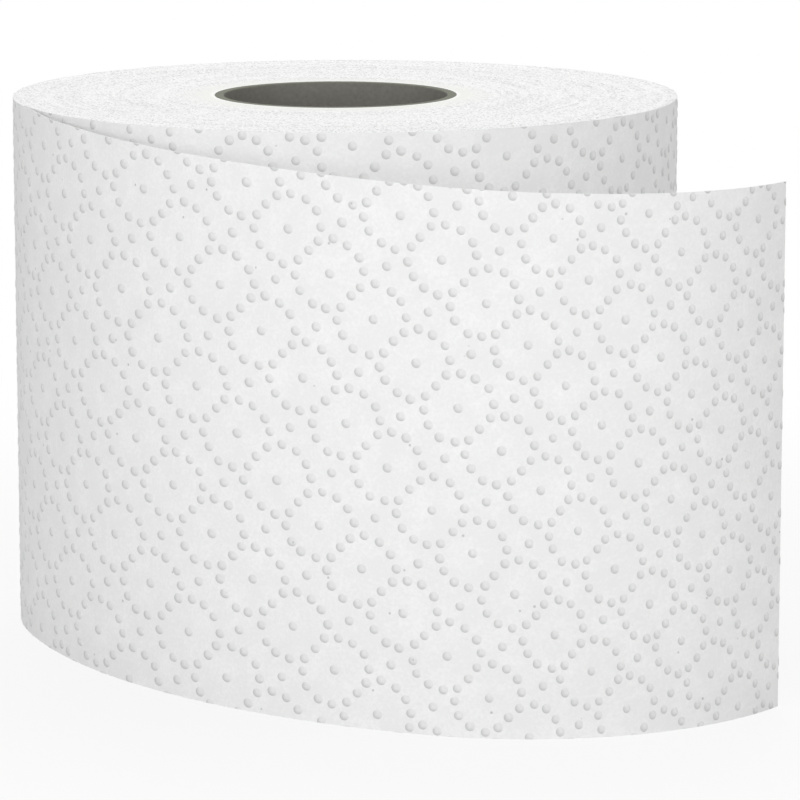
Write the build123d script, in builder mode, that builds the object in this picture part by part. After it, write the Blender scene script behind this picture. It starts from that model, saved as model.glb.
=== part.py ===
"""Toilet paper roll, standing on its end, with a loose tail of paper in front of it.

Millimetres. +Z is up. The origin is on the axis of the cardboard core, in the plane of the roll's foot.
The front of the roll faces -Y. The web winds outwards counter-clockwise, seen from above.
"""

import os
from math import cos, radians, sin

from build123d import *

os.makedirs("parts", exist_ok=True)

# Driving dimensions of the wound roll
web_width = 95.5              # height of the roll, which is the width of the web
roll_radius = 60.0            # over the last turn
web_thickness = 0.4           # with its embossing, which is what one turn adds to the radius
axis_offset = 1.85            # the roll's outline is this far off the core's axis

# Driving dimensions of the cardboard core
core_radius = 21.85
core_wall = 1.7

# Driving dimensions of the loose tail
seam_angle = 197.3            # where the tail leaves the roll, seen from above
ease_radius = 115.3           # the first, flat stretch of the tail
ease_angle = 52.2
curl_radius = 51.9            # the stretch that curls back beside the roll
curl_angle = 74.6
tail_slope = 2.7              # the tail's upper edge runs down at this slope
tail_slope_heading = -34.6    # and in this direction

# Driving dimensions of the turns that show on both ends
shown_turns = 10              # each stands for nine or ten turns of the real web
groove_width = 0.35
groove_depth = 0.6

# The seam, the middle of the roll and the middle of the core lie on one line.
# In this plane that line is X, and the seam is on its negative side.
foot = Plane.XY.rotated((0, 0, seam_angle - 180))
crown = foot.offset(web_width)


def turn_end(turn):
    """Place on the seam line where the web is after so many half turns of the shown ones.

    Whole turns end on the seam's side and half turns end opposite, so the turns lie closer together
    on the side where the core is nearer to the outside.
    """
    share = turn / shown_turns
    if turn == int(turn):
        return -core_radius - share * (roll_radius - web_thickness - axis_offset - core_radius)
    return core_radius + share * (roll_radius + axis_offset - core_radius)


def spiral(first, last, shift):
    """Half circles from one shown turn to another, set outwards by a shift. Their ends lie on X."""
    ends = []
    for half in range(int(2 * first), int(2 * last) + 1):
        x = turn_end(half / 2)
        ends.append(x + shift if x > 0 else x - shift)
    for start, end in zip(ends, ends[1:]):
        middle = (start + end) / 2
        reach = abs(end - start) / 2
        ThreePointArc((start, 0), (middle, -reach if end > start else reach), (end, 0))
    return ends[0], ends[-1]


# The web: the loose tail first, then the wound turns
seam_outside = axis_offset - roll_radius
seam_inside = seam_outside + web_thickness
far_side = axis_offset + roll_radius

with BuildPart() as paper_roll:
    # The tail stands on its lower edge. It leaves the roll along the last turn, so it starts at a right
    # angle to the seam line.
    with BuildSketch(foot):
        with BuildLine():
            ease_out = JernArc((seam_outside, 0), (0, -1), ease_radius, ease_angle)
            curl_out = JernArc(ease_out @ 1, ease_out % 1, curl_radius, curl_angle)
            ease_in = JernArc((seam_inside, 0), (0, -1), ease_radius - web_thickness, ease_angle)
            curl_in = JernArc(ease_in @ 1, ease_in % 1, curl_radius - web_thickness, curl_angle)
            Line(curl_out @ 1, curl_in @ 1)
            Line(ease_out @ 0, ease_in @ 0)
        make_face()
    extrude(amount=web_width)

    # Its upper edge starts level with the top of the roll at the seam, and runs down from there.
    seam = crown.from_local_coords(Vector(seam_outside, 0, 0))
    heading = radians(tail_slope_heading)
    slope = radians(tail_slope)
    trim = Plane(origin=seam, z_dir=(sin(slope) * cos(heading), sin(slope) * sin(heading), cos(slope)))
    split(bisect_by=trim, keep=Keep.BOTTOM)

    # The wound turns: under the tail the outline is one turn further in.
    with BuildSketch(foot):
        with BuildLine():
            ThreePointArc((seam_inside, 0), ((seam_inside + far_side) / 2, (seam_inside - far_side) / 2),
                          (far_side, 0))
            ThreePointArc((far_side, 0), (axis_offset, roll_radius), (seam_outside, 0))
            Line((seam_outside, 0), (seam_inside, 0))
        make_face()
        Circle(core_radius, mode=Mode.SUBTRACT)
    extrude(amount=web_width)

    # The turns on both ends, as one spiral groove each
    for end_face in (foot, crown):
        with BuildSketch(end_face):
            with BuildLine():
                outer_start, outer_end = spiral(1, shown_turns - 1, groove_width / 2)
                inner_start, inner_end = spiral(1, shown_turns - 1, -groove_width / 2)
                Line((outer_start, 0), (inner_start, 0))
                Line((outer_end, 0), (inner_end, 0))
            make_face()
        extrude(amount=groove_depth if end_face is foot else -groove_depth, mode=Mode.SUBTRACT)

with BuildPart() as core_tube:
    with BuildSketch(foot):
        Circle(core_radius)
        Circle(core_radius - core_wall, mode=Mode.SUBTRACT)
    extrude(amount=web_width)

paper_roll.part.label = "paper_roll"
core_tube.part.label = "core_tube"
export_step(paper_roll.part, "parts/paper_roll.step")
export_step(core_tube.part, "parts/core_tube.step")
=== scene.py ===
"""Toilet paper roll, standing on its end, with its loose tail in front.

One embossed web makes the roll's last turn and the tail. It is laid out flat, dotted there, and then
wrapped along its line as seen from above. The turns inside show as a spiral on both ends.
Sizes in metres, +Z up, the front of the roll towards -Y, the origin on the core's axis at the foot.
"""

from math import cos, pi, radians, sin, tan

import bpy
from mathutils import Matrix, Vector


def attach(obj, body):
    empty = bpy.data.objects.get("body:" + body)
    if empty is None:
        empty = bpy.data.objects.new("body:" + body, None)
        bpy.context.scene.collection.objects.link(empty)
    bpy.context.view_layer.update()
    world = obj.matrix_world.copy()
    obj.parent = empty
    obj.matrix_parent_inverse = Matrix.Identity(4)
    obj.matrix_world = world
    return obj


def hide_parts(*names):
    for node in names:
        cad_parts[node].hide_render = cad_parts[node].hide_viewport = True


MM = 0.001

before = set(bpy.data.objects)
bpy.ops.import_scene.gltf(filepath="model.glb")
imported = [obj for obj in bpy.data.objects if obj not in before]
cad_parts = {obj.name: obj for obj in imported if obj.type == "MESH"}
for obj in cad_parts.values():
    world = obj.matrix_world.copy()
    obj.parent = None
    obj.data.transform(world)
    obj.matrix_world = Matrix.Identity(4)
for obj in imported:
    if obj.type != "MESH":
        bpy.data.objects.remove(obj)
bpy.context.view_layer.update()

# ---- Sizes shared with the solids
WEB_WIDTH = 95.5 * MM
ROLL_RADIUS = 60.0 * MM
TURN = 0.4 * MM                   # what one turn adds to the radius
AXIS_OFFSET = 1.85 * MM           # the roll's outline is this far off the core's axis
CORE_RADIUS = 21.85 * MM
CORE_WALL = 1.7 * MM
SEAM_ANGLE = radians(197.3)       # where the tail leaves the roll, seen from above
TAIL_ARCS = ((115.3 * MM, radians(52.2)), (51.9 * MM, radians(74.6)))
EDGE_SLOPE = tan(radians(2.7))    # the tail's upper edge runs down
EDGE_HEADING = radians(-34.6)

# ---- The sheet
SHEET = 0.2 * MM                  # its thickness between the dots
SHEET_DEPTH = 0.1 * MM            # of its face under the roll's outline, so that no dot passes the outline
SHEET_ROWS = 13                   # of points, from the foot up
LINE_STEP = 0.5 * MM              # between the points of the line that it is wrapped along
TURN_SECTIONS = 361               # of points along the last turn, about a millimetre apart
TAIL_SECTIONS = 174               # and along the tail
EDGE_EASE = 0.6 * MM              # the first of the upper edge's fall, which sets in softly
CRISP_BEND = radians(50)          # an edge that bends more stays crisp

# ---- One embossed dot
DOT_RADIUS = 0.84 * MM
DOT_HEIGHT = 0.08 * MM
DOT_SHOULDER = 4.0                # power of its fall from the middle to the rim
DOT_SIDES, DOT_RINGS = 12, 3
PIN_SCATTER = Vector((0.2, 0.0, 0.2)) * MM     # the most that a pin is out of line
PIN_LENGTHS = (0.94, 1.06)        # the shortest and the longest, as shares of the usual one
PIN_SEEDS = (5, 6)                # of the pins' scatter and of their lengths
PAINTED_SHADE_SIDE = (-0.707, -0.707, 0.0)     # of a dot: its lower left, where shade is painted on it
PAINTED_SHADE_BLEND = 0.6               # how softly the painted shade on that side passes into the other, from 0 to 1
PAINTED_SHADE_RIM = 1.2                 # power of the painted shade from the middle to the rim
DOT_GREY_AND_SHADE = (0.22, 0.93)            # how grey a dot is: a little all over for its pressed tissue, and most where shade is painted on its lower-left rim

# ---- The pattern of dots, laid out flat from the seam
RING_STEP_A = Vector((7.351, 0.0, -6.932)) * MM     # from one ring of dots to the next, along the web and up
RING_STEP_B = Vector((11.987, 0.0, 11.457)) * MM
FIRST_RING = Vector((66.84, 0.0, 60.25)) * MM       # one ring's middle
RING_CROWNS = ((1.33 * MM, 6.0 * MM), (3.65 * MM, 4.81 * MM))   # along step A and square to it
RING_SIDE = 2.62 * MM             # between the dots that two rings share
RINGS_A, RINGS_B = 60, 44         # steps laid out each way, more than the web holds
BACK_A, BACK_B = 11, 8            # steps from the first ring back to the middle of them all
DRAWN_OUT = 17.5 * MM             # the most that the tail's pattern runs ahead of an even one
DRAWN_LENGTH = 168 * MM           # of the even one, in as many equal stretches as there are shares
DRAWN_SHARES = (0.34, 0.76, 0.97, 0.99, 0.82, 0.59, 0.39)       # of it at the end of each stretch
CREEP = 6.2 * MM                  # how far the pattern climbs in one turn of the roll
CREEP_SPAN = (-200 * MM, -20 * MM)       # where it climbs
LEAD_SHARE = 0.14                 # of its climb that it also runs ahead
LEAD_SPAN = (-310 * MM, -235 * MM)       # where that sets in

# ---- The turns on the ends
TURNS = 94
END_SECTIONS = 200                # of points in one turn
END_INSET = 0.06 * MM             # from the sheet's face to the ends' outer edge
END_RELIEF = 0.04 * MM            # the most that a turn lies lower than another; its edges fall by half that
END_WANDER = 3.0                  # changes of level in one turn
END_WELD = 0.002 * MM             # points nearer to each other than this are made one

# ---- The core's tube
CORE_PLAY = 0.02 * MM             # between the tube and the paper
CORE_INNER_LIP = 0.25 * MM
CORE_OUTER_LIP = 0.08 * MM
CORE_SIDES, CORE_ROWS = 128, 40


def linear(hex_colour):
    """An sRGB hex value as a linear colour with alpha."""
    shares = [int(hex_colour[i:i + 2], 16) / 255 for i in (1, 3, 5)]
    return [s / 12.92 if s <= 0.04045 else ((s + 0.055) / 1.055) ** 2.4 for s in shares] + [1.0]


def add(tree, kind, links=None, **settings):
    """A new node with its settings. links gives its sockets a value or another node's output."""
    node = tree.nodes.new(kind)
    for name, value in settings.items():
        setattr(node, name, value)
    for socket, source in (links or {}).items():
        if isinstance(source, bpy.types.NodeSocket):
            tree.links.new(source, node.inputs[socket])
        else:
            node.inputs[socket].default_value = source
    return node


def new_tree(name, inputs):
    """An empty geometry tree and its named inputs."""
    tree = bpy.data.node_groups.new(name, "GeometryNodeTree")
    tree.interface.new_socket("Geometry", in_out="INPUT", socket_type="NodeSocketGeometry")
    for label, kind in inputs.items():
        tree.interface.new_socket(label, in_out="INPUT", socket_type="NodeSocket" + kind)
    tree.interface.new_socket("Geometry", in_out="OUTPUT", socket_type="NodeSocketGeometry")
    return tree, tree.nodes.new("NodeGroupInput").outputs


def link_object(name, data):
    obj = bpy.data.objects.new(name, data)
    bpy.context.scene.collection.objects.link(obj)
    return obj


def baked(name, source, tree, values):
    """The tree run on the source's data with these values, as a plain mesh object."""
    worker = link_object("worker", source.copy())
    modifier = worker.modifiers.new("tree", "NODES")
    modifier.node_group = tree
    for item in tree.interface.items_tree:
        if item.in_out == "INPUT" and item.name in values:
            modifier[item.identifier] = values[item.name]
    graph = bpy.context.evaluated_depsgraph_get()
    mesh = bpy.data.meshes.new_from_object(worker.evaluated_get(graph), preserve_all_data_layers=True,
                                           depsgraph=graph)
    # A mesh that nodes make starts with an empty slot, before the paper's
    if mesh.materials[0] is None:
        mesh.materials.pop(index=0)
        mesh.polygons.foreach_set("material_index", [0] * len(mesh.polygons))
    bpy.data.objects.remove(worker)
    return link_object(name, mesh)


# ---- The web's line, seen from above

def web_line():
    """Points along the last turn and the tail, and the line's length to the seam and to its end."""
    seam_in = Vector((AXIS_OFFSET - ROLL_RADIUS + TURN, 0.0))
    far_side = AXIS_OFFSET + ROLL_RADIUS
    arcs = [((far_side - seam_in.x) / 2, pi), (ROLL_RADIUS, pi), *TAIL_ARCS]
    place, heading, points = seam_in, -pi / 2, [seam_in]
    for radius, turn in arcs:
        centre = place + radius * Vector((-sin(heading), cos(heading)))
        steps = round(radius * turn / LINE_STEP)
        for k in range(1, steps + 1):
            now = heading + turn * k / steps
            points.append(centre + radius * Vector((sin(now), -cos(now))))
        place, heading = points[-1], heading + turn
    turned = SEAM_ANGLE - pi
    across, along = Vector((cos(turned), sin(turned))), Vector((-sin(turned), cos(turned)))
    points = [(across * p.x + along * p.y).to_3d() for p in points]
    lengths = [radius * turn for radius, turn in arcs]
    return points, sum(lengths[:2]), sum(lengths)


LINE, SEAM, LINE_END = web_line()
line = bpy.data.curves.new("web_line", "CURVE")
line.dimensions = "3D"
spline = line.splines.new("POLY")
spline.points.add(len(LINE) - 1)
spline.points.foreach_set("co", [value for p in LINE for value in (*p, 1.0)])


# ---- The embossing's motif: a ring of dots with one in its middle and one between the rings

def motif_object():
    along = RING_STEP_A.normalized()
    square = Vector((-along.z, 0.0, along.x))
    places = [Vector(), (RING_STEP_A + RING_STEP_B) / 2]
    places += [RING_STEP_A / 2 + square * offset for offset in (-RING_SIDE, 0.0, RING_SIDE)]
    for reach, rise in RING_CROWNS:
        places += [along * reach * i + square * rise * j for i in (-1, 1) for j in (-1, 1)]
    mesh = bpy.data.meshes.new("ring_motif")
    mesh.from_pydata(places, [], [])
    return link_object("ring_motif", mesh)


def web_tree():
    """A flat sheet with its dots, wrapped along the web's line.

    Flat, X is the length along the line, Y the depth under the roll's outline and Z the height.
    """
    tree, given = new_tree("embossed_web", {
        "Start": "Float", "End": "Float", "Seam": "Float", "Sections": "Int", "Rows": "Int",
        "Web Width": "Float", "Sheet Depth": "Float", "Sheet Thickness": "Float",
        "Dot Radius": "Float", "Dot Height": "Float", "Pin Scatter": "Vector",
        "Ring Step A": "Vector", "Ring Step B": "Vector", "Pattern Middle": "Vector",
        "Drawn Out": "Float", "Drawn Length": "Float", "Creep": "Float", "Creep Start": "Float",
        "Creep End": "Float", "Lead Start": "Float", "Lead End": "Float", "Edge Slope": "Vector",
        "Edge Pivot": "Vector", "Edge Ease": "Float", "Inner Dots": "Bool", "Motif": "Object",
        "Paper": "Material"})
    position = add(tree, "GeometryNodeInputPosition").outputs[0]
    x, y, z = add(tree, "ShaderNodeSeparateXYZ", {0: position}).outputs[:]

    # Rings at every crossing of the two steps
    cells = add(tree, "GeometryNodeMeshGrid", {"Size X": RINGS_A, "Size Y": RINGS_B,
                                               "Vertices X": RINGS_A + 1, "Vertices Y": RINGS_B + 1})
    step_a = add(tree, "ShaderNodeVectorMath", {0: given["Ring Step A"], "Scale": x}, operation="SCALE")
    step_b = add(tree, "ShaderNodeVectorMath", {0: given["Ring Step B"], "Scale": y}, operation="SCALE")
    steps = add(tree, "ShaderNodeVectorMath", {0: step_a.outputs[0], 1: step_b.outputs[0]}, operation="ADD")
    middle = add(tree, "ShaderNodeVectorMath", {0: steps.outputs[0], 1: given["Pattern Middle"]},
                 operation="ADD")
    rings = add(tree, "GeometryNodeSetPosition", {"Geometry": cells.outputs[0],
                                                  "Position": middle.outputs[0]})
    motif = add(tree, "GeometryNodeObjectInfo", {"Object": given["Motif"]})
    dotted = add(tree, "GeometryNodeInstanceOnPoints", {"Points": rings.outputs[0],
                                                        "Instance": motif.outputs["Geometry"]})
    places = add(tree, "GeometryNodeRealizeInstances", {0: dotted.outputs[0]})

    # On the tail the pattern is drawn out in the middle, and round the roll it climbs a little
    share = add(tree, "ShaderNodeMapRange", {"Value": x, "From Min": 0.0, "From Max": given["Drawn Length"]})
    hump = add(tree, "ShaderNodeFloatCurve", {"Value": share.outputs[0]})
    curve = hump.mapping.curves[0]
    curve.points[0].location = (0.0, 0.0)
    curve.points[1].location = (1.0, DRAWN_SHARES[-1])
    for stretch, drawn in enumerate(DRAWN_SHARES[:-1], 1):
        curve.points.new(stretch / len(DRAWN_SHARES), drawn)
    hump.mapping.update()
    ahead = add(tree, "ShaderNodeMath", {0: hump.outputs[0], 1: given["Drawn Out"], 2: given["Seam"]},
                operation="MULTIPLY_ADD")
    length = add(tree, "ShaderNodeMath", {0: x, 1: ahead.outputs[0]}, operation="ADD")
    climb = add(tree, "ShaderNodeMapRange", {"Value": x, "From Min": given["Creep Start"],
                                             "From Max": given["Creep End"], "To Min": given["Creep"],
                                             "To Max": 0.0}, interpolation_type="SMOOTHSTEP")
    height = add(tree, "ShaderNodeMath", {0: z, 1: climb.outputs[0]}, operation="ADD")
    lead = add(tree, "ShaderNodeMapRange", {"Value": x, "From Min": given["Lead Start"],
                                            "From Max": given["Lead End"], "To Min": 0.0,
                                            "To Max": LEAD_SHARE})
    reach = add(tree, "ShaderNodeMath", {0: lead.outputs[0], 1: climb.outputs[0], 2: length.outputs[0]},
                operation="MULTIPLY_ADD")
    depth = add(tree, "ShaderNodeMath", {0: y, 1: given["Sheet Depth"]}, operation="ADD")
    laid = add(tree, "ShaderNodeCombineXYZ", {0: reach.outputs[0], 1: depth.outputs[0],
                                              2: height.outputs[0]})

    # What lies over the sheet's edges is brought back to them, which is how the web is cut through its
    # dots. Its depth stays free.
    far_corner = add(tree, "ShaderNodeCombineXYZ", {0: given["End"], 1: 1.0, 2: given["Web Width"]})
    near_corner = add(tree, "ShaderNodeCombineXYZ", {0: given["Start"], 1: -1.0, 2: 0.0})
    below = add(tree, "ShaderNodeVectorMath", {0: laid.outputs[0], 1: far_corner.outputs[0]},
                operation="MINIMUM")
    kept_in = add(tree, "ShaderNodeVectorMath", {0: below.outputs[0], 1: near_corner.outputs[0]},
                  operation="MAXIMUM")
    overhang = add(tree, "ShaderNodeVectorMath", {0: laid.outputs[0], 1: kept_in.outputs[0]},
                   operation="DISTANCE")
    outside = add(tree, "FunctionNodeCompare", {0: overhang.outputs["Value"], 1: given["Dot Radius"]},
                  operation="GREATER_THAN")
    on_sheet = add(tree, "GeometryNodeDeleteGeometry", {"Geometry": places.outputs[0],
                                                        "Selection": outside.outputs[0]})

    # No pin is quite in line or quite as long as the next
    back = add(tree, "ShaderNodeVectorMath", {0: given["Pin Scatter"], "Scale": -1.0}, operation="SCALE")
    scatter = add(tree, "FunctionNodeRandomValue", {"Min": back.outputs[0], "Max": given["Pin Scatter"],
                                                    "Seed": PIN_SEEDS[0]}, data_type="FLOAT_VECTOR")
    astray = add(tree, "GeometryNodeSetPosition", {"Geometry": on_sheet.outputs[0],
                                                   "Offset": scatter.outputs[0]})
    pin_length = add(tree, "FunctionNodeRandomValue", {2: PIN_LENGTHS[0], 3: PIN_LENGTHS[1],
                                                       "Seed": PIN_SEEDS[1]}, data_type="FLOAT")

    # One dot: a dome that is flat in its middle and steep at its rim
    cone = add(tree, "GeometryNodeMeshCone", {"Vertices": DOT_SIDES, "Side Segments": DOT_RINGS,
                                              "Radius Top": 0.0, "Radius Bottom": given["Dot Radius"],
                                              "Depth": 1.0}, fill_type="NONE")
    to_rim = add(tree, "ShaderNodeMath", {0: 1.0, 1: z}, operation="SUBTRACT")
    fall = add(tree, "ShaderNodeMath", {0: to_rim.outputs[0], 1: DOT_SHOULDER}, operation="POWER")
    rise = add(tree, "ShaderNodeMath", {0: 1.0, 1: fall.outputs[0]}, operation="SUBTRACT")
    swell = add(tree, "ShaderNodeMath", {0: rise.outputs[0], 1: given["Dot Height"]}, operation="MULTIPLY")
    domed = add(tree, "ShaderNodeCombineXYZ", {0: x, 1: y, 2: swell.outputs[0]})

    # Each dot is a little grey all over for its pressed tissue, and shade is painted on its rim at the lower
    # left, which is greyest
    leaning = add(tree, "ShaderNodeVectorMath", {0: position, 1: PAINTED_SHADE_SIDE}, operation="DOT_PRODUCT")
    from_middle = add(tree, "ShaderNodeMath", {0: to_rim.outputs[0], 1: given["Dot Radius"]},
                      operation="MULTIPLY")
    side = add(tree, "ShaderNodeMath", {0: leaning.outputs["Value"], 1: from_middle.outputs[0]},
               operation="DIVIDE")
    shaded_side = add(tree, "ShaderNodeMapRange", {"Value": side.outputs[0], "From Min": -PAINTED_SHADE_BLEND,
                                                "From Max": PAINTED_SHADE_BLEND},
                   interpolation_type="SMOOTHSTEP")
    rim = add(tree, "ShaderNodeMath", {0: to_rim.outputs[0], 1: PAINTED_SHADE_RIM}, operation="POWER")
    painted_crescent = add(tree, "ShaderNodeMath", {0: shaded_side.outputs[0], 1: rim.outputs[0]}, operation="MULTIPLY")
    dot_grey_and_shade = add(tree, "ShaderNodeMapRange", {"Value": painted_crescent.outputs[0], "To Min": DOT_GREY_AND_SHADE[0],
                                             "To Max": DOT_GREY_AND_SHADE[1]})
    # The stored value is the dot's grey: a little for its pressed tissue, and painted shade on its lower
    # left
    marked = add(tree, "GeometryNodeStoreNamedAttribute", {"Geometry": cone.outputs[0], "Name": "pressed",
                                                           "Value": dot_grey_and_shade.outputs[0]},
                 data_type="FLOAT", domain="POINT")
    dome = add(tree, "GeometryNodeSetPosition", {"Geometry": marked.outputs[0],
                                                 "Position": domed.outputs[0]})

    # Dots on the outer face, and on the tail's inner face as well
    outer = add(tree, "GeometryNodeInstanceOnPoints", {"Points": astray.outputs[0],
                                                       "Instance": dome.outputs[0],
                                                       "Rotation": (pi / 2, 0.0, 0.0),
                                                       "Scale": pin_length.outputs[1]})
    through = add(tree, "ShaderNodeCombineXYZ", {1: given["Sheet Thickness"]})
    behind = add(tree, "GeometryNodeSetPosition", {"Geometry": astray.outputs[0],
                                                   "Offset": through.outputs[0]})
    inner = add(tree, "GeometryNodeInstanceOnPoints", {"Points": behind.outputs[0],
                                                       "Instance": dome.outputs[0],
                                                       "Selection": given["Inner Dots"],
                                                       "Rotation": (-pi / 2, 0.0, 0.0),
                                                       "Scale": pin_length.outputs[1]})
    both = add(tree, "GeometryNodeJoinGeometry")
    tree.links.new(outer.outputs[0], both.inputs[0])
    tree.links.new(inner.outputs[0], both.inputs[0])
    real = add(tree, "GeometryNodeRealizeInstances", {0: both.outputs[0]})
    trimmed = add(tree, "GeometryNodeSetPosition", {"Geometry": real.outputs[0],
                                                    "Position": kept_in.outputs[0]})

    # The sheet
    span = add(tree, "ShaderNodeMath", {0: given["End"], 1: given["Start"]}, operation="SUBTRACT")
    size = add(tree, "ShaderNodeCombineXYZ", {0: span.outputs[0], 1: given["Sheet Thickness"],
                                              2: given["Web Width"]})
    block = add(tree, "GeometryNodeMeshCube", {"Size": size.outputs[0], "Vertices X": given["Sections"],
                                               "Vertices Y": 2, "Vertices Z": given["Rows"]})
    half = add(tree, "ShaderNodeVectorMath", {0: size.outputs[0], "Scale": 0.5}, operation="SCALE")
    corner = add(tree, "ShaderNodeCombineXYZ", {0: given["Start"], 1: given["Sheet Depth"], 2: 0.0})
    shift = add(tree, "ShaderNodeVectorMath", {0: half.outputs[0], 1: corner.outputs[0]}, operation="ADD")
    sheet = add(tree, "GeometryNodeSetPosition", {"Geometry": block.outputs["Mesh"],
                                                  "Offset": shift.outputs[0]})
    web = add(tree, "GeometryNodeJoinGeometry")
    tree.links.new(sheet.outputs[0], web.inputs[0])
    tree.links.new(trimmed.outputs[0], web.inputs[0])

    # Wrapped along the line, with the tail's upper edge running down
    on_line = add(tree, "GeometryNodeSampleCurve", {"Curves": given["Geometry"], "Length": x}, mode="LENGTH")
    left = add(tree, "ShaderNodeVectorMath", {0: (0.0, 0.0, 1.0), 1: on_line.outputs["Tangent"]},
               operation="CROSS_PRODUCT")
    inset = add(tree, "ShaderNodeVectorMath", {0: left.outputs[0], "Scale": y}, operation="SCALE")
    from_pivot = add(tree, "ShaderNodeVectorMath", {0: on_line.outputs["Position"], 1: given["Edge Pivot"]},
                     operation="SUBTRACT")
    drop = add(tree, "ShaderNodeVectorMath", {0: from_pivot.outputs[0], 1: given["Edge Slope"]},
               operation="DOT_PRODUCT")
    eased = add(tree, "ShaderNodeMapRange", {"Value": drop.outputs["Value"], "From Min": 0.0,
                                             "From Max": given["Edge Ease"]},
                interpolation_type="SMOOTHSTEP")
    fallen = add(tree, "ShaderNodeMath", {0: drop.outputs["Value"], 1: eased.outputs[0]},
                 operation="MULTIPLY")
    lost = add(tree, "ShaderNodeMath", {0: fallen.outputs[0], 1: given["Web Width"]}, operation="DIVIDE")
    stays = add(tree, "ShaderNodeMath", {0: 1.0, 1: lost.outputs[0]}, operation="SUBTRACT")
    level = add(tree, "ShaderNodeMath", {0: z, 1: stays.outputs[0]}, operation="MULTIPLY")
    up = add(tree, "ShaderNodeCombineXYZ", {2: level.outputs[0]})
    beside = add(tree, "ShaderNodeVectorMath", {0: on_line.outputs["Position"], 1: inset.outputs[0]},
                 operation="ADD")
    wrapped = add(tree, "ShaderNodeVectorMath", {0: beside.outputs[0], 1: up.outputs[0]}, operation="ADD")
    wound = add(tree, "GeometryNodeSetPosition", {"Geometry": web.outputs[0],
                                                  "Position": wrapped.outputs[0]})

    # Smooth, with the cut edges crisp
    bend = add(tree, "GeometryNodeInputMeshEdgeAngle")
    crisp = add(tree, "FunctionNodeCompare", {0: bend.outputs[0], 1: CRISP_BEND}, operation="GREATER_THAN")
    smooth = add(tree, "GeometryNodeSetShadeSmooth", {"Geometry": wound.outputs[0],
                                                      "Selection": crisp.outputs[0],
                                                      "Shade Smooth": False}, domain="EDGE")
    finish = add(tree, "GeometryNodeSetMaterial", {"Geometry": smooth.outputs[0],
                                                   "Material": given["Paper"]})
    add(tree, "NodeGroupOutput", {0: finish.outputs[0]})
    return tree


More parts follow.
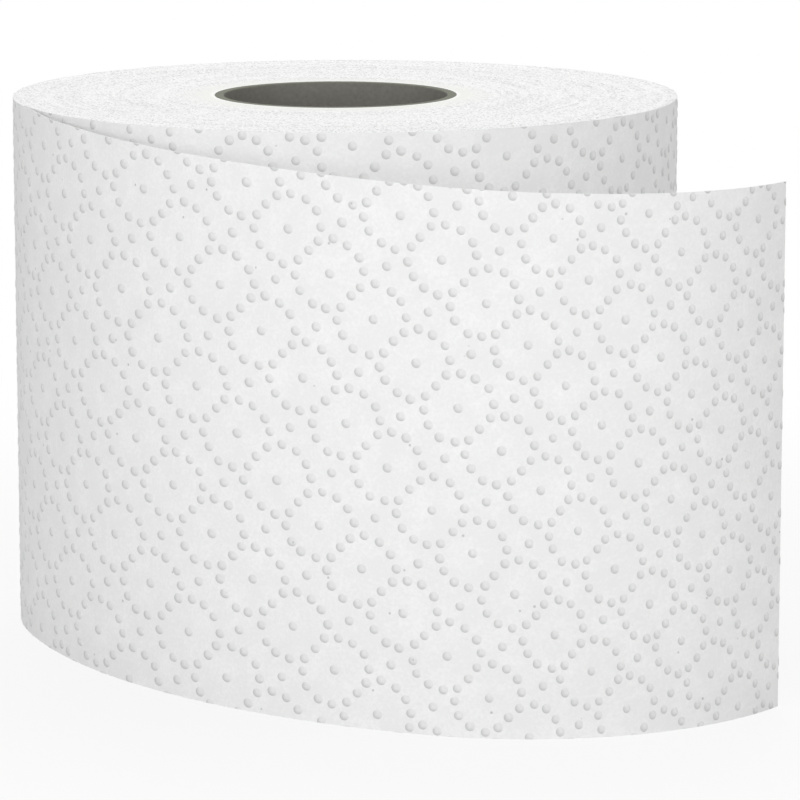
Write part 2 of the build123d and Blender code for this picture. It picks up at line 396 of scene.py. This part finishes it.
def end_tree():
    """The turns on one end of the roll: one ribbon that winds outwards, raised along its middle.

    The grid's X runs along the ribbon and its Y runs across it.
    """
    tree, given = new_tree("wound_end", {
        "Turns": "Int", "Sections": "Int", "Core Radius": "Float", "Outer Radius": "Float",
        "Offset": "Float", "Seam Angle": "Float", "Level": "Float", "Relief": "Float",
        "Upwards": "Float", "Weld": "Float", "Paper": "Material"})
    position = add(tree, "GeometryNodeInputPosition").outputs[0]
    x, y = add(tree, "ShaderNodeSeparateXYZ", {0: position}).outputs[:2]
    stations = add(tree, "ShaderNodeMath", {0: given["Turns"], 1: given["Sections"], 2: 1.0},
                   operation="MULTIPLY_ADD")
    ribbon = add(tree, "GeometryNodeMeshGrid", {"Size X": 1.0, "Size Y": 1.0,
                                                "Vertices X": stations.outputs[0], "Vertices Y": 3})
    along = add(tree, "ShaderNodeMath", {0: x, 1: 0.5}, operation="ADD")
    turn = add(tree, "ShaderNodeMath", {0: along.outputs[0], 1: given["Turns"]}, operation="MULTIPLY")
    angle = add(tree, "ShaderNodeMath", {0: turn.outputs[0], 1: 2 * pi, 2: given["Seam Angle"]},
                operation="MULTIPLY_ADD")
    turn_middle = add(tree, "ShaderNodeMath", {0: turn.outputs[0], 1: 0.5}, operation="SUBTRACT")
    reached = add(tree, "ShaderNodeMath", {0: turn_middle.outputs[0], 1: y}, operation="ADD")
    share = add(tree, "ShaderNodeMath", {0: reached.outputs[0], 1: given["Turns"]}, operation="DIVIDE",
                use_clamp=True)

    # The room that the turns have between the core and the outline, which is off centre
    from_seam = add(tree, "ShaderNodeMath", {0: turn.outputs[0], 1: 2 * pi}, operation="MULTIPLY")
    swing = add(tree, "ShaderNodeMath", {0: from_seam.outputs[0]}, operation="COSINE")
    shorter = add(tree, "ShaderNodeMath", {0: swing.outputs[0], 1: given["Offset"]}, operation="MULTIPLY")
    outline = add(tree, "ShaderNodeMath", {0: given["Outer Radius"], 1: shorter.outputs[0]},
                  operation="SUBTRACT")
    room = add(tree, "ShaderNodeMath", {0: outline.outputs[0], 1: given["Core Radius"]},
               operation="SUBTRACT")
    radius = add(tree, "ShaderNodeMath", {0: share.outputs[0], 1: room.outputs[0], 2: given["Core Radius"]},
                 operation="MULTIPLY_ADD")
    east = add(tree, "ShaderNodeMath", {0: angle.outputs[0]}, operation="COSINE")
    north = add(tree, "ShaderNodeMath", {0: angle.outputs[0]}, operation="SINE")
    outwards = add(tree, "ShaderNodeCombineXYZ", {0: east.outputs[0], 1: north.outputs[0], 2: 0.0})
    spot = add(tree, "ShaderNodeVectorMath", {0: outwards.outputs[0], "Scale": radius.outputs[0]},
               operation="SCALE")

    # Some turns stand a little lower than others
    wander = add(tree, "ShaderNodeTexNoise", {"W": reached.outputs[0], "Scale": END_WANDER,
                                              "Detail": 1.0}, noise_dimensions="1D")
    across = add(tree, "ShaderNodeMath", {0: y}, operation="ABSOLUTE")
    valley = add(tree, "ShaderNodeMath", {0: across.outputs[0], 1: wander.outputs[0]}, operation="ADD")
    depth = add(tree, "ShaderNodeMath", {0: valley.outputs[0], 1: given["Relief"]}, operation="MULTIPLY")
    signed = add(tree, "ShaderNodeMath", {0: depth.outputs[0], 1: given["Upwards"]}, operation="MULTIPLY")
    height = add(tree, "ShaderNodeMath", {0: given["Level"], 1: signed.outputs[0]}, operation="SUBTRACT")
    up = add(tree, "ShaderNodeCombineXYZ", {2: height.outputs[0]})
    place = add(tree, "ShaderNodeVectorMath", {0: spot.outputs[0], 1: up.outputs[0]}, operation="ADD")
    wound = add(tree, "GeometryNodeSetPosition", {"Geometry": ribbon.outputs[0],
                                                  "Position": place.outputs[0]})
    welded = add(tree, "GeometryNodeMergeByDistance", {"Geometry": wound.outputs[0],
                                                       "Distance": given["Weld"]})
    is_top = add(tree, "FunctionNodeCompare", {0: given["Upwards"], 1: 0.0}, operation="GREATER_THAN")
    facing = add(tree, "GeometryNodeFlipFaces", {"Mesh": welded.outputs[0], "Selection": is_top.outputs[0]})
    smooth = add(tree, "GeometryNodeSetShadeSmooth", {"Geometry": facing.outputs[0], "Shade Smooth": True})
    finish = add(tree, "GeometryNodeSetMaterial", {"Geometry": smooth.outputs[0],
                                                   "Material": given["Paper"]})
    add(tree, "NodeGroupOutput", {0: finish.outputs[0]})
    return tree


# ---- Materials

def new_material(name):
    material = bpy.data.materials.new(name)
    material.use_nodes = True
    tree = material.node_tree
    tree.nodes.clear()
    shader = add(tree, "ShaderNodeBsdfPrincipled")
    add(tree, "ShaderNodeOutputMaterial", {"Surface": shader.outputs[0]})
    return material, tree, shader


def embossed_tissue():
    """Bleached soft tissue: matt and bright, cloudy where its fibres bunch, with a rare grey fleck.

    It is greyer on the dots, a little for the pressed tissue and most at each dot's lower-left rim, where
    shade is painted. A single fibre is too fine to show, so they are drawn 0.6 mm wide.
    """
    cloud, fibre = 5 * MM, 0.6 * MM
    fibre_weight = 1.5            # against the clouds
    mix_shift = 0.875             # which brings the two together on to the ramp
    fleck_spacing, fleck_radius = 5 * MM, 0.3 * MM
    material, tree, shader = new_material("embossed_tissue")
    where = add(tree, "ShaderNodeTexCoord").outputs["Object"]
    clouds = add(tree, "ShaderNodeTexNoise", {"Vector": where, "Scale": 1 / cloud, "Detail": 3.0})
    fibres = add(tree, "ShaderNodeTexNoise", {"Vector": where, "Scale": 1 / fibre, "Detail": 4.0,
                                              "Roughness": 0.65})
    mixed = add(tree, "ShaderNodeMath", {0: fibres.outputs[0], 1: fibre_weight, 2: clouds.outputs[0]},
                operation="MULTIPLY_ADD")
    spread = add(tree, "ShaderNodeMath", {0: mixed.outputs[0], 1: mix_shift}, operation="SUBTRACT")
    ramp = add(tree, "ShaderNodeValToRGB", {0: spread.outputs[0]})
    ramp.color_ramp.elements[0].position = 0.25
    ramp.color_ramp.elements[0].color = linear("#EAEAEA")
    ramp.color_ramp.elements[1].position = 1.0
    ramp.color_ramp.elements[1].color = linear("#F5F5F5")
    flecks = add(tree, "ShaderNodeTexVoronoi", {"Vector": where, "Scale": 1 / fleck_spacing})
    fleck = add(tree, "ShaderNodeMapRange", {"Value": flecks.outputs["Distance"],
                                             "From Min": fleck_radius / fleck_spacing,
                                             "From Max": fleck_radius / fleck_spacing / 2,
                                             "To Min": 0.0, "To Max": 0.9},
                interpolation_type="SMOOTHSTEP")
    # The dots' grey: a little for their pressed tissue, and painted shade on their lower-left rims
    pressed = add(tree, "ShaderNodeAttribute", attribute_name="pressed")
    fleck_press_and_shade = add(tree, "ShaderNodeMath", {0: pressed.outputs["Fac"], 1: fleck.outputs[0]},
               operation="MAXIMUM")
    # By place: factor, one colour, the other colour and the colour that comes out
    tint = add(tree, "ShaderNodeMix", {0: fleck_press_and_shade.outputs[0], 6: ramp.outputs[0], 7: linear("#C0C0C0")},
               data_type="RGBA")
    tree.links.new(tint.outputs[2], shader.inputs["Base Color"])
    shader.inputs["Roughness"].default_value = 0.95
    shader.inputs["IOR"].default_value = 1.3
    bump = add(tree, "ShaderNodeBump", {"Height": fibres.outputs[0], "Strength": 0.4,
                                        "Distance": 0.08 * MM})
    tree.links.new(bump.outputs[0], shader.inputs["Normal"])
    return material


def cut_tissue():
    """The same tissue cut across: thousands of torn fibre ends, so it is grainy, in faint rings of turns.

    The grain is 0.2 mm on the real roll and is drawn at 0.4 mm to show, and the rings are drawn about
    three turns wide. The turns near the core are smoother, nearly white next to the bore and a little cream
    further out.
    """
    grain, ring, core_band_width = 0.4 * MM, 1.1 * MM, 8 * MM
    ring_weight = 0.2             # against the grain
    unround = 0.05                # how much of its place a ring takes in besides its radius
    material, tree, shader = new_material("cut_tissue")
    where = add(tree, "ShaderNodeTexCoord").outputs["Object"]
    level = add(tree, "ShaderNodeVectorMath", {0: where, 1: (1.0, 1.0, 0.0)}, operation="MULTIPLY")
    radius = add(tree, "ShaderNodeVectorMath", {0: level.outputs[0]}, operation="LENGTH")
    outwards = add(tree, "ShaderNodeCombineXYZ", {0: radius.outputs["Value"]})
    ringed = add(tree, "ShaderNodeVectorMath", {0: where, 1: (unround, unround, unround),
                                                2: outwards.outputs[0]}, operation="MULTIPLY_ADD")
    rings = add(tree, "ShaderNodeTexNoise", {"Vector": ringed.outputs[0], "Scale": 1 / ring,
                                             "Detail": 2.0})
    grains = add(tree, "ShaderNodeTexNoise", {"Vector": where, "Scale": 1 / grain, "Detail": 2.0,
                                              "Roughness": 0.6})
    mixed = add(tree, "ShaderNodeMath", {0: rings.outputs[0], 1: ring_weight, 2: grains.outputs[0]},
                operation="MULTIPLY_ADD")
    ramp = add(tree, "ShaderNodeValToRGB", {0: mixed.outputs[0]})
    ramp.color_ramp.elements[0].position = 0.42
    ramp.color_ramp.elements[0].color = linear("#C4C4C4")
    ramp.color_ramp.elements[1].position = 0.72
    ramp.color_ramp.elements[1].color = linear("#FFFFFF")
    ramp.color_ramp.elements.new(0.6).color = linear("#F9F9F9")
    # The turns next to the bore are made nearly white, then a little cream, fading out over 8 mm
    from_core = add(tree, "ShaderNodeMapRange", {"Value": radius.outputs["Value"],
                                                 "From Min": CORE_RADIUS,
                                                 "From Max": CORE_RADIUS + core_band_width})
    core_band_colour = add(tree, "ShaderNodeValToRGB", {0: from_core.outputs[0]})
    core_band_colour.color_ramp.elements[0].position = 0.05
    core_band_colour.color_ramp.elements[0].color = linear("#FFFFFC")
    core_band_colour.color_ramp.elements[1].position = 0.12
    core_band_colour.color_ramp.elements[1].color = linear("#F4F4F0")
    core_band_share = add(tree, "ShaderNodeMapRange", {"Value": from_core.outputs[0], "To Min": 0.9,
                                             "To Max": 0.0}, interpolation_type="SMOOTHSTEP")
    tint = add(tree, "ShaderNodeMix", {0: core_band_share.outputs[0], 6: ramp.outputs[0], 7: core_band_colour.outputs[0]},
               data_type="RGBA")
    tree.links.new(tint.outputs[2], shader.inputs["Base Color"])
    shader.inputs["Roughness"].default_value = 1.0
    shader.inputs["IOR"].default_value = 1.3
    bump = add(tree, "ShaderNodeBump", {"Height": grains.outputs[0], "Strength": 0.6,
                                        "Distance": 0.1 * MM})
    tree.links.new(bump.outputs[0], shader.inputs["Normal"])
    return material


def grey_board():
    """Recycled core board: grey and flecked, a little more olive where it is cut across.

    It is wound from a strip, whose edge leaves one faint line that climbs inside the core.
    """
    fleck, strip_climb = 0.8 * MM, 110 * MM
    edge_place = 0.62             # of the strip's edge at the foot, as a share of a turn
    edge_reach, edge_dark = 0.0025, 0.001      # to either side of it, as shares of a turn
    material, tree, shader = new_material("grey_board")
    where = add(tree, "ShaderNodeTexCoord").outputs["Object"]
    flecks = add(tree, "ShaderNodeTexNoise", {"Vector": where, "Scale": 1 / fleck, "Detail": 4.0})
    ramp = add(tree, "ShaderNodeValToRGB", {0: flecks.outputs[0]})
    ramp.color_ramp.elements[0].position = 0.3
    ramp.color_ramp.elements[0].color = linear("#75736D")
    ramp.color_ramp.elements[1].position = 0.7
    ramp.color_ramp.elements[1].color = linear("#817F79")
    x, y, z = add(tree, "ShaderNodeSeparateXYZ", {0: where}).outputs[:]
    angle = add(tree, "ShaderNodeMath", {0: y, 1: x}, operation="ARCTAN2")
    share = add(tree, "ShaderNodeMath", {0: angle.outputs[0], 1: 2 * pi}, operation="DIVIDE")
    climb = add(tree, "ShaderNodeMath", {0: z, 1: 1 / strip_climb, 2: share.outputs[0]},
                operation="MULTIPLY_ADD")
    saw = add(tree, "ShaderNodeMath", {0: climb.outputs[0], 1: 1.0}, operation="FLOORED_MODULO")
    from_edge = add(tree, "ShaderNodeMath", {0: saw.outputs[0], 1: edge_place}, operation="SUBTRACT")
    beside = add(tree, "ShaderNodeMath", {0: from_edge.outputs[0]}, operation="ABSOLUTE")
    edge = add(tree, "ShaderNodeMapRange", {"Value": beside.outputs[0], "From Min": edge_reach,
                                            "From Max": edge_dark, "To Min": 0.0, "To Max": 0.45})
    lined = add(tree, "ShaderNodeMix", {0: edge.outputs[0], 6: ramp.outputs[0], 7: linear("#4A4944")},
                data_type="RGBA")
    normal = add(tree, "ShaderNodeNewGeometry").outputs["Normal"]
    facing_up = add(tree, "ShaderNodeSeparateXYZ", {0: normal}).outputs[2]
    cut_across = add(tree, "ShaderNodeMath", {0: facing_up}, operation="ABSOLUTE")
    tint = add(tree, "ShaderNodeMix", {0: cut_across.outputs[0], 6: lined.outputs[2],
                                       7: linear("#74766A")}, data_type="RGBA")
    tree.links.new(tint.outputs[2], shader.inputs["Base Color"])
    shader.inputs["Roughness"].default_value = 0.9
    shader.inputs["IOR"].default_value = 1.25
    bump = add(tree, "ShaderNodeBump", {"Height": flecks.outputs[0], "Strength": 0.3,
                                        "Distance": 0.05 * MM})
    tree.links.new(bump.outputs[0], shader.inputs["Normal"])
    return material


# ---- The paper

tissue = embossed_tissue()
cut_end = cut_tissue()
board = grey_board()
motif = motif_object()
shared = {
    "Seam": SEAM, "Rows": SHEET_ROWS, "Web Width": WEB_WIDTH, "Sheet Depth": SHEET_DEPTH,
    "Sheet Thickness": SHEET, "Dot Radius": DOT_RADIUS, "Dot Height": DOT_HEIGHT,
    "Pin Scatter": PIN_SCATTER, "Ring Step A": RING_STEP_A, "Ring Step B": RING_STEP_B,
    "Pattern Middle": FIRST_RING - BACK_A * RING_STEP_A - BACK_B * RING_STEP_B,
    "Drawn Out": DRAWN_OUT, "Drawn Length": DRAWN_LENGTH,
    "Creep": CREEP, "Creep Start": CREEP_SPAN[0], "Creep End": CREEP_SPAN[1],
    "Lead Start": LEAD_SPAN[0], "Lead End": LEAD_SPAN[1], "Edge Ease": EDGE_EASE,
    "Edge Pivot": (ROLL_RADIUS - AXIS_OFFSET) * Vector((cos(SEAM_ANGLE), sin(SEAM_ANGLE), 0.0)),
    "Motif": motif, "Paper": tissue}
web = web_tree()
last_turn = baked("last_turn", line, web, {
    **shared, "Sheet Thickness": TURN - SHEET_DEPTH, "Start": 0.0, "End": SEAM,
    "Sections": TURN_SECTIONS, "Edge Slope": Vector(), "Inner Dots": False})
loose_tail = baked("loose_tail", line, web, {
    **shared, "Start": SEAM, "End": LINE_END, "Sections": TAIL_SECTIONS, "Inner Dots": True,
    "Edge Slope": EDGE_SLOPE * Vector((cos(EDGE_HEADING), sin(EDGE_HEADING), 0.0))})
bpy.data.objects.remove(motif)

ends = end_tree()
ribbon = {
    "Turns": TURNS, "Sections": END_SECTIONS, "Core Radius": CORE_RADIUS,
    "Outer Radius": ROLL_RADIUS - SHEET_DEPTH - END_INSET, "Offset": AXIS_OFFSET,
    "Seam Angle": SEAM_ANGLE, "Relief": END_RELIEF, "Weld": END_WELD, "Paper": cut_end}
empty = bpy.data.meshes.new("empty")
crown_turns = baked("crown_turns", empty, ends, {**ribbon, "Level": WEB_WIDTH, "Upwards": 1.0})
foot_turns = baked("foot_turns", empty, ends, {**ribbon, "Level": 0.0, "Upwards": -1.0})


# ---- The core: a board tube with soft lips

def core_mesh():
    inner, outer = CORE_RADIUS - CORE_WALL, CORE_RADIUS - CORE_PLAY
    near, far = CORE_INNER_LIP, CORE_OUTER_LIP
    bends = (0, pi / 6, pi / 3, pi / 2)
    # Radius and height: up the bore, over the crown's lips, and back along the foot's lips
    section = [(inner, near + (WEB_WIDTH - 2 * near) * k / CORE_ROWS) for k in range(CORE_ROWS)]
    section += [(inner + near * (1 - cos(a)), WEB_WIDTH - near * (1 - sin(a))) for a in bends]
    section += [(outer - far * (1 - sin(a)), WEB_WIDTH - far * (1 - cos(a))) for a in bends]
    section += [(outer - far * (1 - cos(a)), far * (1 - sin(a))) for a in bends]
    section += [(inner + near * (1 - sin(a)), near * (1 - cos(a))) for a in bends[:3]]
    angles = [2 * pi * s / CORE_SIDES for s in range(CORE_SIDES)]
    points = [(r * cos(angle), r * sin(angle), z) for angle in angles for r, z in section]
    n = len(section)
    faces = []
    for s in range(CORE_SIDES):
        here, there = s * n, (s + 1) % CORE_SIDES * n
        faces += [(here + k, here + (k + 1) % n, there + (k + 1) % n, there + k) for k in range(n)]
    mesh = bpy.data.meshes.new("core_board")
    mesh.from_pydata(points, [], faces)
    mesh.shade_smooth()
    mesh.materials.append(board)
    return mesh


core_board = link_object("core_board", core_mesh())

for node, slot, pieces in (("paper_roll", "tissue_paper", (last_turn, loose_tail, crown_turns, foot_turns)),
                           ("core_tube", "core_board", (core_board,))):
    for piece in pieces:
        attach(piece, "root")
        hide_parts(node)


# ---- Floor, light and camera

FLOOR_REACH = 3.0
NEAR_ROLL, OPEN_FLOOR = 60 * MM, 260 * MM     # from the core's axis
NEAR_WHITE = 0.86                 # share of plain white that the floor shows near the roll, for its shadow
LAMP_WIDTH = 1.0
LAMP_AIM = Vector((0.0, 0.0, 0.05))


def seen(tree):
    """1 for what the camera sees, straight or in a shine, and 0 for the light that falls on the object."""
    path = add(tree, "ShaderNodeLightPath").outputs
    direct = add(tree, "ShaderNodeMath", {0: path["Is Camera Ray"], 1: path["Is Glossy Ray"]},
                 operation="ADD")
    return add(tree, "ShaderNodeMath", {0: direct.outputs[0], 1: path["Is Transmission Ray"]},
               operation="ADD", use_clamp=True).outputs[0]


floor_mesh = bpy.data.meshes.new("floor")
floor_corners = [(x * FLOOR_REACH, y * FLOOR_REACH, 0) for x, y in ((-1, -1), (1, -1), (1, 1), (-1, 1))]
floor_mesh.from_pydata(floor_corners, [], [(0, 1, 2, 3)])
floor = link_object("floor", floor_mesh)

# A pale matt table. It is seen as plain white, but for a faint shadow close to the roll.
floor_material, tree, shader = new_material("white_table")
shader.inputs["Base Color"].default_value = linear("#D2D2D2")
shader.inputs["Roughness"].default_value = 1.0
where = add(tree, "ShaderNodeTexCoord").outputs["Object"]
distance = add(tree, "ShaderNodeVectorMath", {0: where}, operation="LENGTH")
plain = add(tree, "ShaderNodeMapRange", {"Value": distance.outputs["Value"], "From Min": NEAR_ROLL,
                                         "From Max": OPEN_FLOOR, "To Min": NEAR_WHITE, "To Max": 1.0},
            interpolation_type="SMOOTHSTEP")
share = add(tree, "ShaderNodeMath", {0: seen(tree), 1: plain.outputs[0]}, operation="MULTIPLY")
glow = add(tree, "ShaderNodeEmission", {"Strength": 1.0})
white = add(tree, "ShaderNodeMixShader", {0: share.outputs[0], 1: shader.outputs[0], 2: glow.outputs[0]})
output = next(n for n in tree.nodes if n.bl_idname == "ShaderNodeOutputMaterial")
tree.links.new(white.outputs[0], output.inputs["Surface"])
floor_mesh.materials.append(floor_material)

# The world is seen as plain white too, and gives the object a third of that light
world = bpy.data.worlds.new("studio")
world.use_nodes = True
bpy.context.scene.world = world
tree = world.node_tree
tree.nodes.clear()
soft = add(tree, "ShaderNodeBackground", {"Color": linear("#FFFFFF"), "Strength": 0.3})
bright = add(tree, "ShaderNodeBackground", {"Color": linear("#FFFFFF"), "Strength": 1.0})
shown = add(tree, "ShaderNodeMixShader", {0: seen(tree), 1: soft.outputs[0], 2: bright.outputs[0]})
add(tree, "ShaderNodeOutputWorld", {0: shown.outputs[0]})

# Soft boxes round the roll: name, place and watts
for name, place, watts in (("front", (0.0, -1.7, 0.55), 9.3),
                           ("front_left", (-0.9, -1.4, 0.6), 11.1),
                           ("right", (1.6, -0.2, 0.7), 6.7),
                           ("back", (0.0, 1.6, 0.9), 10.0),
                           ("over_back", (0.0, 0.9, 1.5), 10.4)):
    light = bpy.data.lights.new(name, "AREA")
    light.size = LAMP_WIDTH
    light.energy = watts
    lamp = link_object(name, light)
    lamp.location = place
    lamp.rotation_euler = (LAMP_AIM - Vector(place)).to_track_quat("-Z", "Y").to_euler()

# The camera was fitted to the roll's outline in the photo. It looks down by 10.3 degrees.
camera = bpy.data.cameras.new("camera")
camera.sensor_width = 36
camera.lens = 197.26
camera.clip_end = 20
viewer = link_object("camera", camera)
viewer.location = (1.77 * MM, -788.96 * MM, 182.43 * MM)
viewer.rotation_euler = (radians(90 - 10.2797), 0.0, radians(-0.7151))
bpy.context.scene.camera = viewer
bpy.context.scene.view_settings.view_transform = "Standard"
